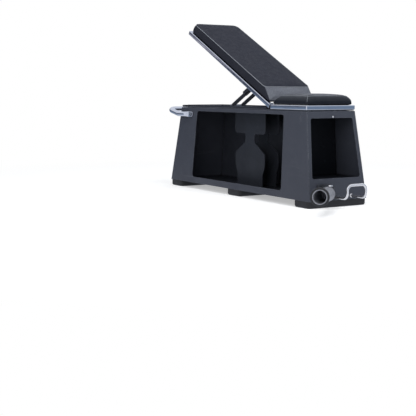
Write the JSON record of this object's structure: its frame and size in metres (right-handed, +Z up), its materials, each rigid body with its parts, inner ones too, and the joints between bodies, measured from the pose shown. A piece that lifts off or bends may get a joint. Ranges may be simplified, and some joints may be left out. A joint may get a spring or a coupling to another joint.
{
  "type": "utility bench",
  "caption": "Adjustable exercise bench on a flared storage cabinet, with propped backrest, swivelling bar socket, strap hoop and transport handle.",
  "frame": {"origin": "on the floor under the middle of the cabinet, at the centre of the middle skid's underside", "axes": "+X along the length to the seat end, +Y across to the closed long side, +Z up"},
  "size_m": [1.4733, 0.4633, 0.8245],
  "materials": {
    "powder_coat": "fine-texture powder coat",
    "chrome": "bright plated",
    "zinc": "zinc plated",
    "vinyl": "grained vinyl",
    "board": "black stained plywood",
    "rubber": "matt",
    "black_steel": "black satin coat"
  },
  "bodies": {
    "cabinet": {"side_panel_near": "powder_coat", "side_panel_far": "powder_coat", "end_panel_seat": "powder_coat", "end_panel_head": "powder_coat", "top_deck": "powder_coat", "bottom_plate": "powder_coat", "prop_tray": "powder_coat", "head_rest_strip": "powder_coat", "pocket_bulkhead": "powder_coat", "pocket_floor": "powder_coat", "web_plate_near": "powder_coat", "web_plate_far": "powder_coat", "skid_seat_end": "rubber", "skid_middle": "rubber", "skid_head_end": "rubber", "tooth_channel": "zinc", "seat_rail_near": "chrome", "seat_rail_far": "chrome", "seat_rail_end": "chrome", "seat_board": "board", "seat_cushion": "vinyl", "seat_bolt_1": "zinc", "seat_bolt_2": "zinc", "seat_bolt_3": "zinc", "seat_bolt_4": "zinc", "seat_hinge_leaf_near": "chrome", "seat_hinge_leaf_far": "chrome", "hinge_pin_near": "zinc", "hinge_pin_far": "zinc", "transport_handle": "chrome", "handle_bolt_1": "zinc", "handle_bolt_2": "zinc", "socket_bracket": "black_steel", "swivel_pin": "zinc", "strap_hoop": "chrome", "end_screw": "zinc"},
    "backrest": {"back_tube_near": "chrome", "back_tube_far": "chrome", "back_tube_head": "chrome", "lower_crossbar": "black_steel", "prop_crossbar": "black_steel", "upper_crossbar": "black_steel", "prop_pin": "zinc", "back_board": "board", "back_cushion": "vinyl", "back_board_screw_1": "zinc", "back_board_screw_2": "zinc", "back_board_screw_3": "zinc", "back_board_screw_4": "zinc", "back_hinge_leaf_near": "chrome", "back_hinge_leaf_far": "chrome"},
    "prop": {"prop_leg_near": "black_steel", "prop_leg_far": "black_steel", "prop_foot_rod": "zinc"},
    "swivel": {"swivel_block": "black_steel", "tilt_pin": "zinc"},
    "socket": {"bar_socket": "black_steel", "socket_ring": "rubber"}
  },
  "joints": [
    {"name": "backrest_incline", "type": "hinge", "parent": "cabinet", "child": "backrest", "pos_m": [0.261, 0, 0.4358], "axis": [0, 1, 0], "range_deg": [-26.4, 30]},
    {"name": "prop_fold", "type": "hinge", "parent": "backrest", "child": "prop", "pos_m": [0.02564, 0, 0.53777], "axis": [0, 1, 0], "range_deg": [-60.6, 53.3]},
    {"name": "socket_swivel", "type": "hinge", "parent": "cabinet", "child": "swivel", "pos_m": [0.62038, -0.075, 0.07], "axis": [0, 0, 1], "range_deg": [-42, 54]},
    {"name": "socket_tilt", "type": "hinge", "parent": "swivel", "child": "socket", "pos_m": [0.65116, -0.10919, 0.07], "axis": [-0.7431, -0.6691, 0], "range_deg": [-8, 77]}
  ],
  "couplings": [
    {"joint": "prop_fold", "follows": "backrest_incline", "ratio": -2.0163}
  ]
}
